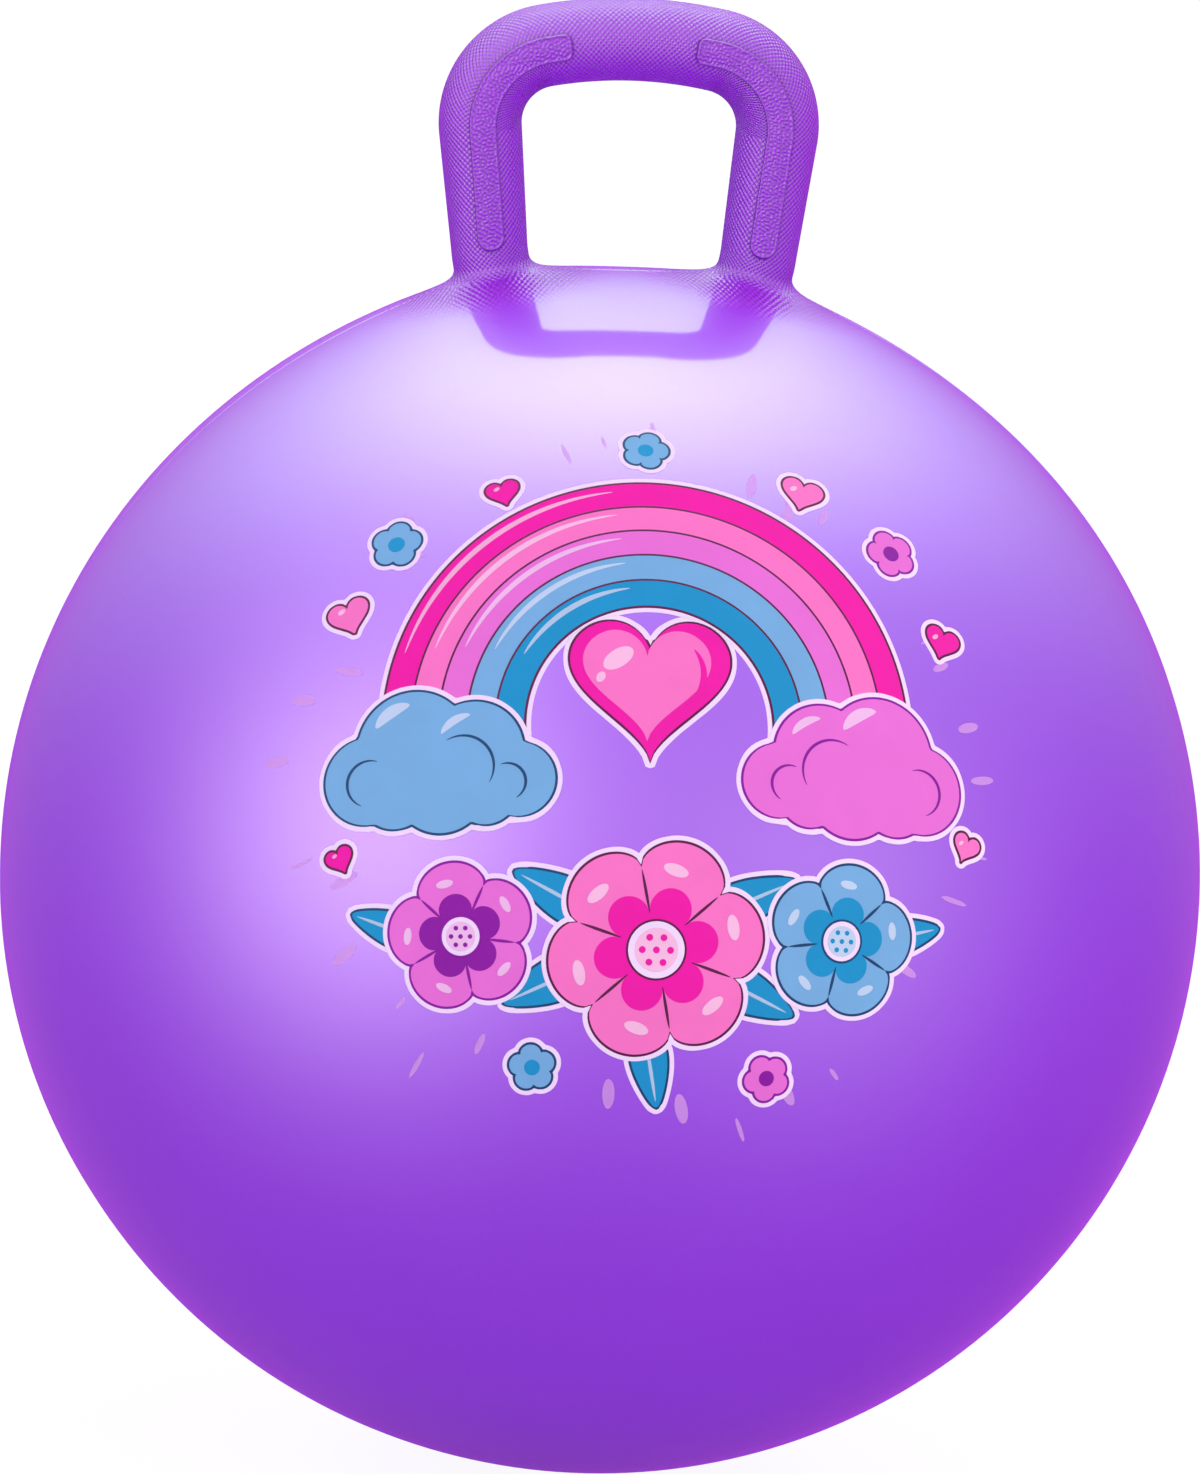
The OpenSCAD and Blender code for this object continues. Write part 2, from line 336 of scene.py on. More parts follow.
# %% [markdown]
# ## A map for the handle's grain
# A pattern that follows a bent tube needs coordinates that bend with it, so the mesh gets a UV map in
# millimetres: the way along the tube and the way round it. On a foot that map would fan out and stretch the
# grain into rays. There the grain is read from the flat X and Y instead, and a value on each point leads over
# from one to the other.

# %% UV map, grain and lead-over of the handle
GRAIN_PITCH, GRAIN_TURNS = 1.1, 88
FLAT_FROM, FLAT_FULL = 16.0, 21.0

arc = np.concatenate([[0.0], np.cumsum(np.linalg.norm(np.diff(right[:, 0], axis=0), axis=-1))])
arc_rows = np.concatenate([-arc[:0:-1], arc])
turn_columns = np.concatenate([ring_turn, [2.0 * np.pi]]) / (2.0 * np.pi) * GRAIN_TURNS * GRAIN_PITCH


def ring_uv(rows, columns):
    """For the corners of closed rings, in the order of grid_faces: (way along, way round), with no jump where a
    ring closes."""
    i, j = np.meshgrid(np.arange(rows - 1), np.arange(columns), indexing="ij")
    row = np.stack([i, i, i + 1, i + 1], -1)
    column = np.stack([j, j + 1, j + 1, j], -1)
    return np.stack([arc_rows[row], turn_columns[column]], -1).reshape(-1, 2)


def both_halves(tube_values, foot_values, cap_value):
    """A value for each point of the handle, from those of the right half's tube and foot, which the left half
    mirrors."""
    half = np.concatenate([tube_values, foot_values, np.full((1, len(ring_turn)), cap_value)])
    return np.concatenate([half[:0:-1].ravel(), half.ravel(), [cap_value, cap_value]])


uv = np.zeros((len(handle.data.loops), 2), np.float32)
side_uv = ring_uv(*loop.shape[:2])
uv[:len(side_uv)] = side_uv
handle.data.uv_layers.new(name="grain_mm").data.foreach_set("uv", uv.ravel())

on_tube = np.ones((len(tube_s), len(ring_turn)))
foot_direction = foot_rings / np.linalg.norm(foot_rings, axis=-1, keepdims=True)
set_values(handle, "grain", both_halves(on_tube, etching(foot_direction), 0.0))
set_values(handle, "flat", both_halves(0.0 * on_tube, smoothstep(FLAT_FROM, FLAT_FULL, foot_reach), 1.0))
print("grain along", round(float(arc_rows.max()), 1), "mm each way")

# %% [markdown]
# ## Grip pads
# Four raised strips run over the shoulders and down the legs, two in front and two behind, so that small hands
# don't slip. Each one has a pebbled top. Pebbles in a bump map would vanish at the strip's edge and in the
# exported shape, so a strip is a height field on the tube, fine enough to hold them: a rounded outline gives
# the wall, and a sum of seeded waves gives the pebbles.

# %% Height of a pad over its outline
PAD_W, PAD_H = 10.4, 0.9
PAD_START, PAD_END = RUN_ENDS["crown"] - 9.5, RUN_ENDS["leg"] + 0.6
PAD_L = PAD_END - PAD_START
TOP_CORNER, PAD_WALL, PAD_BED = 3.2, 0.45, 0.6
BEAD_IN, BEAD_W, BEAD_H = 0.9, 0.42, 0.5
PEBBLE_SIZE, PEBBLE_H, PEBBLE_WAVES = 1.4, 0.42, 28
PEBBLE_FOOT, PEBBLE_CREST = -0.3, 1.2
GRIP_FROM, GRIP_FULL = 0.6, 1.5


def inside(a, b):
    """Distance inside a strip's outline: a rectangle whose corners are round, small at its top and full at its
    end."""
    corner = np.where(a < PAD_L / 2, TOP_CORNER, PAD_W / 2)
    past_end = np.where(a < PAD_L / 2, corner - a, a - (PAD_L - corner))
    past_side = np.abs(b) - (PAD_W / 2 - corner)
    outside = np.hypot(np.maximum(past_end, 0.0), np.maximum(past_side, 0.0))
    return corner - outside - np.minimum(np.maximum(past_end, past_side), 0.0)


def pebbles(a, b, seed):
    """Waves of about one length in seeded directions, added up: only their crests stay, as separate pebbles."""
    draw = np.random.default_rng(seed)
    turn = draw.uniform(0.0, np.pi, PEBBLE_WAVES)
    pace = 2.0 * np.pi / (PEBBLE_SIZE * draw.uniform(0.8, 1.3, PEBBLE_WAVES))
    phase = draw.uniform(0.0, 2.0 * np.pi, PEBBLE_WAVES)
    wave = np.cos((a[..., None] * np.cos(turn) + b[..., None] * np.sin(turn)) * pace + phase)
    return smoothstep(PEBBLE_FOOT, PEBBLE_CREST, wave.sum(-1) / math.sqrt(PEBBLE_WAVES))


def pad_height(depth, pebble):
    """A wall that rises and rounds off over PAD_WALL inside the outline, a low bead along it, and then pebbles."""
    rise = np.sin(np.clip(depth / PAD_WALL, -1.0, 1.0) * np.pi / 2)
    bead = BEAD_H * np.exp(-((depth - BEAD_IN) / BEAD_W) ** 2)
    grip = PEBBLE_H * pebble * smoothstep(GRIP_FROM, GRIP_FULL, depth)
    return np.where(depth < 0.0, rise * PAD_BED, rise * PAD_H + (bead + grip) * rise)


print("pads are", round(float(PAD_L), 1), "mm long")

# %% Four pads on the tube
PAD_MARGIN, PAD_ROWS, PAD_COLUMNS = 0.5, 400, 52
FIRST_SEED = 7


def make_pad(name, side, face, seed):
    """Places the height field on the tube: b is the way across, so a pad leans from the front by
    asin(b / radius). A second sheet in the tube and a wall round the border close it."""
    a = np.linspace(-PAD_MARGIN, PAD_L + PAD_MARGIN, PAD_ROWS)
    b = np.linspace(-PAD_W / 2 - PAD_MARGIN, PAD_W / 2 + PAD_MARGIN, PAD_COLUMNS)
    a_grid, b_grid = np.meshgrid(a, b, indexing="ij")
    depth, pebble = inside(a_grid, b_grid), pebbles(a_grid, b_grid, seed)
    place, outward, front = along(a + PAD_START)
    radius = tube_radius(a + PAD_START)[:, None]
    lean = np.arcsin(b_grid / radius)
    spoke = np.sin(lean)[..., None] * outward[:, None] + np.cos(lean)[..., None] * front[:, None]
    lift = np.stack([pad_height(depth, pebble), np.full_like(depth, -2.0 * PAD_BED)])
    sheets = (place[:, None] + (radius + lift)[..., None] * spoke) * [side, face, 1.0]
    n, m = depth.shape
    border = np.concatenate([np.arange(m - 1), np.arange(n - 1) * m + m - 1, n * m - 1 - np.arange(m - 1),
                             (n - 1 - np.arange(n - 1)) * m])
    after = np.roll(border, -1)
    wall = np.stack([border, after, after + n * m, border + n * m], -1)
    faces = [grid_faces(n, m, 0, False), grid_faces(n, m, n * m, False)[:, ::-1], wall[:, ::-1]]
    if side * face > 0:
        faces = [f[:, ::-1] for f in faces]
    pad = new_piece(name, sheets, faces, slot="grip_pvc", replaced=["grip_" + name])
    set_values(pad, "pad_depth", [depth, depth])
    set_values(pad, "pebble", [pebble, pebble])
    return pad


pads = [make_pad(f"pad_{where}_{hand}", side, face, FIRST_SEED + 2 * (face < 0) + (side < 0))
        for where, face in (("front", 1.0), ("rear", -1.0)) for hand, side in (("left", -1.0), ("right", 1.0))]

# %% How far each point of the handle is from a pad's outline
NO_PAD = -9.0
tube_depth = inside(tube_s[:, None] - PAD_START, tube_radius(tube_s)[:, None] * np.cos(ring_turn))
no_pad = np.full_like(foot_reach, NO_PAD)
set_values(handle, "pad_depth", both_halves(np.maximum(tube_depth, NO_PAD), no_pad, NO_PAD))
print("points of the handle under a pad:", int((tube_depth > 0.0).sum()) * 2)

# %% [markdown]
# ## Valve and plug
# The valve is a turned shape: a face that fills the hole in the skin, a dish for the plug's head, a flange that
# bonds to the inside, and a stem. The plug has a flat head with a hollow for a thumb, and a tapered shank. Both
# are profiles turned round the valve's axis. Each corner of a profile is rounded by a short curve, because
# moulded rubber has no sharp edge, and a rounded edge is what catches the light.

# %% Turned profiles
TURNED, EDGE_POINTS, EDGE_SHARE = turns(72), 6, 0.4


def rounded(corners, radius):
    """Replaces each corner of a closed profile by a curve: from one radius before it, or EDGE_SHARE of a shorter
    side, to one radius after it, drawn towards the corner."""
    corners = np.asarray(corners, float)

    def start(neighbours):
        way = neighbours - corners
        length = np.linalg.norm(way, axis=-1, keepdims=True)
        return (corners + way / length * np.minimum(radius, length * EDGE_SHARE))[:, None]

    t = np.linspace(0.0, 1.0, EDGE_POINTS)[None, :, None]
    curve = ((1 - t) ** 2 * start(np.roll(corners, 1, 0)) + 2 * t * (1 - t) * corners[:, None]
             + t ** 2 * start(np.roll(corners, -1, 0)))
    return curve.reshape(-1, 2)


def turned(profile):
    """Carries a profile of (radius, height) round the +Y axis."""
    radius, height = profile[:, 0, None], profile[:, 1, None] + 0.0 * TURNED
    return np.stack([radius * np.cos(TURNED), height, radius * np.sin(TURNED)], -1)


# %% Valve: a closed profile, so its last ring joins its first
CUP_R, DISH_R, BORE_R, STEM_R, FLANGE_R, CUP_EDGE = 9.9, 6.8, 3.25, 6.25, 16.0, 0.35
STEM_END, STEM_TOP, FLANGE_IN, FLANGE_OUT, CUP_FOOT = 211.5, 225.5, 225.03, 226.8, 227.16
DISH_Y, CUP_RIM, DISH_RIM = 226.549, 228.28, 228.4

cup = turned(rounded([(BORE_R, STEM_END), (STEM_R, STEM_END), (STEM_R, STEM_TOP), (FLANGE_R, FLANGE_IN),
                      (FLANGE_R, FLANGE_OUT), (CUP_R, CUP_FOOT), (CUP_R, CUP_RIM), (DISH_R, DISH_RIM),
                      (DISH_R, DISH_Y), (BORE_R, DISH_Y)], CUP_EDGE))
n, m = cup.shape[:2]
cup_faces = (grid_faces(n + 1, m) % (n * m))[:, ::-1]
valve_cup = new_piece("valve_cup", cup, [cup_faces], slot="valve_pvc", replaced=["valve_stem"])

# %% Plug: an open profile, so the curve at its two ends is cut off in its middle
HEAD_R, SHANK_R, TIP_R, THUMB_R, THUMB_SLOPE, PLUG_EDGE = 6.5, 3.2, 2.0, 3.5, 0.5, 0.4
HEAD_Y, HEAD_T, SHANK_L, TIP_L, THUMB_DEPTH = 226.6, 1.8, 18.0, 4.0, 0.5
TIP_Y, TOP_Y = HEAD_Y - SHANK_L, HEAD_Y + HEAD_T

plug_profile = rounded([(TIP_R, TIP_Y), (SHANK_R, TIP_Y + TIP_L), (SHANK_R, HEAD_Y), (HEAD_R, HEAD_Y),
                        (HEAD_R, TOP_Y), (THUMB_R, TOP_Y), (THUMB_R - THUMB_SLOPE, TOP_Y - THUMB_DEPTH)],
                       PLUG_EDGE)[2:-2]
plug_hubs = np.array([[0.0, TIP_Y, 0.0], [0.0, TOP_Y - THUMB_DEPTH, 0.0]])
plug = new_piece("valve_plug_push_in", *capped(turned(plug_profile), plug_hubs), body="plug", slot="plug_white",
                 replaced=["valve_plug"])

# %% [markdown]
# ## Ink on a round ball
# The front carries a bright print. Painted as an image it would blur at its edges, so each colour is a film of
# ink: a thin sheet that follows the ball. A flat drawing is laid on a ball by keeping each point's direction
# from the middle of the print and its distance along the surface. Later inks lie a hair above earlier ones,
# as they do in a pad print. Each film is closed: its edge goes down into the skin, and its back lies there.

# %% From a flat drawing to a film on the ball
PRINT_TILT = math.radians(19.5)
PRINT_AXIS = np.array([0.0, -math.cos(PRINT_TILT), math.sin(PRINT_TILT)])
PRINT_RIGHT = np.array([1.0, 0.0, 0.0])
PRINT_UP = np.array([0.0, math.sin(PRINT_TILT), math.cos(PRINT_TILT)])
INK_BASE, INK_STEP, INK_ROOT, INK_MESH, INK_EDGE = 0.12, 0.045, -0.05, 5.0, 0.25
films = {}


def rays(angle):
    """Unit steps on the flat drawing: (cos, sin) of an angle or of each angle."""
    return np.stack([np.cos(angle), np.sin(angle)], -1)


def lay(flat, lift):
    """Bends a flat drawing round the ball: the distance from its middle, over the radius, becomes an angle."""
    way = np.maximum(np.linalg.norm(flat, axis=-1, keepdims=True), 1e-9)
    sideways = (flat[..., :1] * PRINT_RIGHT + flat[..., 1:] * PRINT_UP) / way
    direction = np.cos(way / BALL_R) * PRINT_AXIS + np.sin(way / BALL_R) * sideways
    return on_ball(direction, lift)


def keep(ink, points, faces):
    """Adds the points and faces of one film to the ink that it is printed in."""
    points = points.reshape(-1, 3)
    points_so_far, faces_so_far = films.setdefault(ink, ([], []))
    count = sum(len(p) for p in points_so_far)
    points_so_far.append(points)
    faces_so_far.extend([f + count for f in faces])


# %% Filled shapes and bands
def film(ink, centre, radius, layer):
    """A filled shape: rings from its centre out to the outline radius(angle), then back again under the ink."""
    rings = max(2, math.ceil(radius.max() / INK_MESH))
    inner = np.linspace(1.0 / rings, 1.0, rings)[:, None] * np.maximum(radius - INK_EDGE, 0.5 * radius)
    reach = np.concatenate([inner, radius[None]])
    flat = centre + reach[..., None] * rays(turns(len(radius)))
    lift = INK_BASE + INK_STEP * layer
    grid = np.concatenate([lay(flat, lift), lay(flat[::-1], INK_ROOT)])
    hubs = lay(np.asarray([centre, centre], float), np.array([lift, INK_ROOT]))
    keep(ink, *capped(grid, hubs))


def ribbon(ink, line, half_width, layer):
    """A band along a line: the line plus or minus the half width along its normal, and back again under the ink."""
    line = np.asarray(line, float)
    half_width = np.broadcast_to(half_width, len(line))
    ahead = np.gradient(line, axis=0)
    ahead /= np.linalg.norm(ahead, axis=-1, keepdims=True)
    normal = np.stack([-ahead[:, 1], ahead[:, 0]], -1)
    across = max(2, math.ceil(2.0 * half_width.max() / INK_MESH) + 1)
    edge = 1.0 - min(0.5, INK_EDGE / half_width.max())
    share = np.concatenate([[-1.0], np.linspace(-edge, edge, across), [1.0]])
    flat = line[:, None] + (half_width[:, None] * share)[..., None] * normal[:, None]
    lift = INK_BASE + INK_STEP * layer
    grid = np.concatenate([lay(flat, lift), lay(flat[:, ::-1], INK_ROOT)], axis=1)
    rows, columns = grid.shape[:2]
    k = np.arange(columns // 2 - 1)
    end = np.stack([k, k + 1, columns - 2 - k, columns - 1 - k], -1)
    keep(ink, grid, [grid_faces(rows, columns)[:, ::-1], end, (end + (rows - 1) * columns)[:, ::-1]])


# %% [markdown]
# ## Outlines in polar form
# Every filled shape of the print is given by its radius at each angle round its own centre. A flower shrinks
# between its petals, a cloud reaches to the farthest of its puffs, and a heart or a leaf is a known curve read
# off by angle. A drawn outline and a pale halo are the same shape grown by a fixed amount: the farthest point
# on that ray of a disc that rolls round the edge.

# %% Shapes by angle
PETAL_POWER, LEAF_POINT = 0.55, 0.45
CURVE_POINTS = 400


def flower(petals, reach, depth, turn=0.0, columns=180):
    """Radius that falls between petals: 1 - depth times (1 - |cos of half the petal angle| to PETAL_POWER)."""
    wave = np.abs(np.cos(petals * (turns(columns) - turn) / 2)) ** PETAL_POWER
    return reach * (1.0 - depth * (1.0 - wave))


def puffs(discs, columns=180):
    """Farthest exit from a set of discs (x, y, radius) along each ray from the centre."""
    reach = rays(turns(columns)) @ discs[:, :2].T
    inner = discs[:, 2] ** 2 - (discs[:, :2] ** 2).sum(-1) + reach ** 2
    return np.where(inner > 0.0, reach + np.sqrt(np.maximum(inner, 0.0)), 0.0).max(-1)


def by_angle(x, y, turn, columns):
    """Reads a closed curve round its centre as a radius for each angle, turned by an angle."""
    angle = np.arctan2(y, x) + turn
    return np.interp(turns(columns), angle % (2 * np.pi), np.hypot(x, y), period=2 * np.pi)


def heart(width, turn=0.0, columns=120):
    """The curve (16 sin³, 13 cos - 5 cos 2 - 2 cos 3 - cos 4), scaled to a width."""
    t = turns(CURVE_POINTS)
    x, y = 16 * np.sin(t) ** 3, 13 * np.cos(t) - 5 * np.cos(2 * t) - 2 * np.cos(3 * t) - np.cos(4 * t)
    return by_angle(x * width / 32, (y + 1.0) * width / 32, turn, columns)


def oval(length, width, turn, columns, point=0.0, points=200):
    """An ellipse whose half width falls by a share, its point, towards one end and grows towards the other."""
    t = turns(points)
    return by_angle(length / 2 * np.cos(t), width / 2 * np.sin(t) * (1.0 - point * np.cos(t)), turn, columns)


def leaf(length, width, turn):
    """An oval drawn out to a point at one end."""
    return oval(length, width, turn, 96, LEAF_POINT, CURVE_POINTS)


# %% Lines and halos
HALO_W, LINE_W = 2.7, 0.95
STROKE_POWER, STROKE_CUT = 0.6, 0.02


def grown(radius, amount):
    """Farthest point on each ray of a disc of that amount that rolls round the outline."""
    angle = turns(len(radius))
    gap = angle[:, None] - angle[None, :]
    under = amount ** 2 - (radius * np.sin(gap)) ** 2
    reach = radius * np.cos(gap) + np.sqrt(np.maximum(under, 0.0))
    return np.where((under > 0.0) & (np.cos(gap) > 0.0), reach, 0.0).max(-1)


def drawn(ink, centre, radius, layer, line="plum"):
    """A shape with its dark outline under it and a pale halo under that."""
    film("halo", centre, grown(radius, HALO_W), layer)
    film(line, centre, grown(radius, LINE_W), layer + 1)
    film(ink, centre, radius, layer + 2)


def bow(centre, radius, start, end, points=40):
    """Points on an arc of a circle, between two angles in degrees."""
    return np.asarray(centre, float) + radius * rays(np.radians(np.linspace(start, end, points)))


def stroke(ink, line, half_width, layer):
    """A ribbon that is full in its middle and runs out to a point at both ends: half a sine to STROKE_POWER."""
    t = np.linspace(STROKE_CUT, np.pi - STROKE_CUT, len(line))
    ribbon(ink, line, half_width * np.sin(t) ** STROKE_POWER, layer)


# %% [markdown]
# ## The drawing
# A rainbow stands on two clouds over a row of flowers, with a heart under its arch. Bands and strokes are
# ribbons along arcs, and everything else is a filled outline. Large shapes come first, then what lies on top
# of them. Small hearts, flowers and confetti fill the space round them.

# %% Rainbow
BOW_CENTRE, BOW_IN, BAND, BOW_POINTS = (0.0, 14.0), 47.0, 10.8, 120
BOW_INKS = ["teal", "sky", "orchid", "pink", "magenta"]
bow_half = BAND * len(BOW_INKS) / 2
for ink, grow, layer in (("halo", HALO_W, 0), ("plum", LINE_W, 1)):
    ribbon(ink, bow(BOW_CENTRE, BOW_IN + bow_half, -6, 186, BOW_POINTS), bow_half + grow, layer)
for i, ink in enumerate(BOW_INKS):
    middle = BOW_IN + BAND * (i + 0.5)
    ribbon(ink, bow(BOW_CENTRE, middle, -5, 185, BOW_POINTS), BAND / 2, 2)
    stroke("pale_" + ink, bow(BOW_CENTRE, middle + BAND * 0.2, 98, 150 + 3 * i, 60), 1.1, 3)
for i in range(1, len(BOW_INKS)):
    ribbon("plum", bow(BOW_CENTRE, BOW_IN + BAND * i, -5, 185, BOW_POINTS), 0.38, 3)
print("rainbow of", len(BOW_INKS), "bands")

# %% Clouds, with a curl of line in each puff
CLOUD = [(-27, -4, 17), (-9, 8, 22), (14, 6, 19), (31, -5, 14), (2, -7, 18), (-16, -9, 14), (19, -10, 12)]
CURLS = [(-26, -5, 9, 70, 250), (10, 0, 12, -30, 120), (27, -6, 7, -60, 110)]
for centre, flip, ink, line in (((-80.0, -2.0), 1, "sky", "navy"), ((80.0, 0.0), -1, "orchid", "violet")):
    discs = np.array(CLOUD, float) * [flip, 1.0, 1.0]
    drawn(ink, centre, puffs(discs), 5, line)
    for (x, y, r), width in zip(discs[1:3], (2.4, 1.6)):
        stroke("pale_" + ink, bow(np.add(centre, (x, y)), r - 5.0, 95, 150, 36), width, 8)
    for x, y, r, start, end in CURLS:
        stroke(line, np.add(centre, bow((x, y), r, start, end) * [flip, 1.0]), 0.55, 9)
print("two clouds of", len(CLOUD), "puffs")

# %% Heart under the arch
HEART = (0.0, 30.0)
drawn("magenta", HEART, heart(60), 0)
film("pink", np.add(HEART, (-1.2, 1.4)), heart(48), 3)
film("pale_pink", np.add(HEART, (-12.0, 9.5)), oval(13, 7, math.radians(35), 48), 4)
film("pale_pink", np.add(HEART, (-18.5, 2.0)), oval(4.5, 3.2, math.radians(60), 28), 4)
stroke("magenta", bow(np.add(HEART, (5.0, 4.0)), 15.0, -55, 40), 1.2, 4)
print("heart at", HEART)

# %% Leaves, which the flowers lie on
LEAVES = [(-34, -50, 36, 15, 152), (-38, -84, 34, 15, 205), (40, -50, 36, 15, 25), (42, -86, 36, 15, -24),
          (4, -116, 30, 13, -78), (-100, -62, 28, 12, 160), (104, -60, 28, 12, 14)]
for x, y, length, width, degrees in LEAVES:
    turn = math.radians(degrees)
    drawn("teal", (x, y), leaf(length, width, turn), 0, "navy")
    spine = np.array([x, y]) + np.linspace(-0.42, 0.42, 24)[:, None] * length * rays(turn)
    stroke("pale_teal", spine, 0.7, 3)
print(len(LEAVES), "leaves")

# %% Flowers, with lines between the petals, a shine on each and a dotted eye: sizes are shares of the reach
FLOWERS = [((4.0, -70.0), 6, 41.0, 0.24, 12, "pink", "magenta", "plum"),
           ((-70.0, -66.0), 5, 28.0, 0.26, 30, "orchid", "violet", "violet"),
           ((76.0, -64.0), 5, 29.0, 0.26, 80, "sky", "teal", "navy")]
DOTS = 6
for centre, petals, reach, depth, degrees, ink, deep, line in FLOWERS:
    facing = math.radians(degrees)
    drawn(ink, centre, flower(petals, reach, depth, facing), 5, line)
    film(deep, centre, flower(petals, reach * 0.58, 0.42, facing), 8)
    for edge in facing + (np.arange(petals) + 0.5) * 2.0 * np.pi / petals:
        stroke(line, centre + np.linspace(0.34, 0.74, 24)[:, None] * reach * rays(edge), 0.55, 9)
        middle = edge - math.pi / petals
        shine = oval(reach * 0.24, reach * 0.11, middle + math.pi / 2, 36)
        film("pale_" + ink, centre + reach * 0.74 * rays(middle + 0.1), shine, 9)
    film(line, centre, np.full(72, reach * 0.26 + 0.8), 10)
    film("halo", centre, np.full(72, reach * 0.26), 11)
    film("pale_" + ink, centre, np.full(60, reach * 0.2), 12)
    for place in np.concatenate([reach * 0.13 * rays(turns(DOTS)), np.zeros((1, 2))]):
        film(deep, centre + place, np.full(16, reach * 0.032), 13)
print(len(FLOWERS), "flowers")

# %% Small hearts and small flowers
SMALL_HEARTS = [(-116, 62, 17, 18, "pink"), (118, 58, 15, -16, "magenta"), (-56, 112, 13, 14, "magenta"),
                (62, 116, 17, -14, "pink"), (-118, -36, 11, 24, "magenta"), (128, -24, 12, -20, "pink")]
for x, y, width, degrees, ink in SMALL_HEARTS:
    drawn(ink, (x, y), heart(width, math.radians(degrees), 72), 0)
    film("pale_" + ink, (x - width * 0.2, y + width * 0.14), oval(width * 0.2, width * 0.12, 0.6, 20), 3)

SMALL_FLOWERS = [(-98, 92, 10, 10, "sky", "teal", "navy"), (98, 94, 10, 40, "orchid", "violet", "violet"),
                 (0, 132, 9, 0, "sky", "teal", "navy"), (-42, -116, 9, 25, "sky", "teal", "navy"),
                 (50, -118, 9, 50, "orchid", "violet", "violet")]
for x, y, reach, degrees, ink, deep, line in SMALL_FLOWERS:
    drawn(ink, (x, y), flower(5, reach, 0.3, math.radians(degrees), 90), 0, line)
    film(deep, (x, y), np.full(28, reach * 0.34), 3)
print(len(SMALL_HEARTS), "small hearts,", len(SMALL_FLOWERS), "small flowers")

# %% Confetti in a ring round the drawing
CONFETTI, CONFETTI_SEED, CONFETTI_SHIFT = 34, 21, (0.0, -2.0)
draw = np.random.default_rng(CONFETTI_SEED)
angles = (np.arange(CONFETTI) + draw.uniform(-0.4, 0.4, CONFETTI)) * 2.0 * np.pi / CONFETTI
reaches = draw.uniform(122.0, 146.0, CONFETTI)
lengths = draw.uniform(6.0, 13.0, CONFETTI)
slims = draw.choice([0.16, 0.3, 0.4], CONFETTI)
for angle, reach, length, slim in zip(angles, reaches, lengths, slims):
    film("confetti", rays(angle) * reach + CONFETTI_SHIFT, oval(length, length * slim, angle + 0.12, 36), -1)

# %% One piece for each ink
ink_pieces = {}
for ink, (points, faces) in films.items():
    by_size = [np.concatenate([f for f in faces if f.shape[1] == k]) for k in (3, 4)
               if any(f.shape[1] == k for f in faces)]
    ink_pieces[ink] = new_piece("print_" + ink, np.concatenate(points), by_size)

# %% [markdown]
# ## Finishes
# Vinyl is dyed right through, so its colour is even but never perfectly flat: pigment drifts a little, and the
# skin of the mould leaves a faint waviness in the shine. Several finishes share that, so it is a node group
# that each material uses with its own values. A single noise texture in each material would do the same job,
# but then a change would have to be made five times.

# %% Colours and nodes
FLOAT, COLOUR, VECTOR = "NodeSocketFloat", "NodeSocketColor", "NodeSocketVector"


def linear(code):
    """A screen colour such as 8a36d8 as linear red, green, blue and a full alpha."""
    value = np.array([int(code[i:i + 2], 16) for i in (0, 2, 4)]) / 255.0
    value = np.where(value <= 0.04045, value / 12.92, ((value + 0.055) / 1.055) ** 2.4)
    return (*(float(v) for v in value), 1.0)


def fill(tree, node, inputs):
    """Links or sets a node's inputs, by name or by number."""
    for name, value in inputs.items():
        if isinstance(value, bpy.types.NodeSocket):
            tree.links.new(value, node.inputs[name])
        else:
            node.inputs[name].default_value = value


def add(tree, kind, inputs=None, **settings):
    """Adds a node, sets its properties and fills its inputs."""
    node = tree.nodes.new(kind)
    for name, value in settings.items():
        setattr(node, name, value)
    fill(tree, node, inputs or {})
    return node


# %% Short forms for nodes used often
def calc(tree, operation, *inputs):
    """The result of one Math node, with sockets or numbers as its inputs."""
    return add(tree, "ShaderNodeMath", dict(enumerate(inputs)), operation=operation).outputs[0]


def calc_vector(tree, operation, *inputs):
    """The result of one Vector Math node, with sockets or vectors as its inputs."""
    return add(tree, "ShaderNodeVectorMath", dict(enumerate(inputs)), operation=operation).outputs[0]


def noise(tree, where, scale, detail):
    """The value of a noise texture."""
    return add(tree, "ShaderNodeTexNoise", {"Vector": where, "Scale": scale, "Detail": detail}).outputs["Fac"]


def on_object(tree):
    """The object's own coordinates, in metres."""
    return add(tree, "ShaderNodeTexCoord").outputs["Object"]


def value_of(tree, name):
    """The number that the mesh holds under a name."""
    return add(tree, "ShaderNodeAttribute", attribute_name=name).outputs["Fac"]


# %% Groups and materials
def new_group(name, inputs, outputs):
    """An empty shader node group with named sockets, given as (name, kind, default): the group, the sockets that
    it takes and the node that gives its results."""
    group = bpy.data.node_groups.new(name, "ShaderNodeTree")
    for label, kind, default in inputs:
        group.interface.new_socket(label, in_out="INPUT", socket_type=kind).default_value = default
    for label, kind in outputs:
        group.interface.new_socket(label, in_out="OUTPUT", socket_type=kind)
    print(f"group {name}: {len(inputs)} inputs, {len(outputs)} outputs")
    return group, group.nodes.new("NodeGroupInput").outputs, group.nodes.new("NodeGroupOutput")


def use_group(tree, group, inputs):
    """The outputs of a node group, placed in a material with its own values."""
    return add(tree, "ShaderNodeGroup", inputs, node_tree=group).outputs


def bare_tree(owner):
    """An empty node tree for a material or a world."""
    owner.use_nodes = True
    owner.node_tree.nodes.clear()
    return owner.node_tree


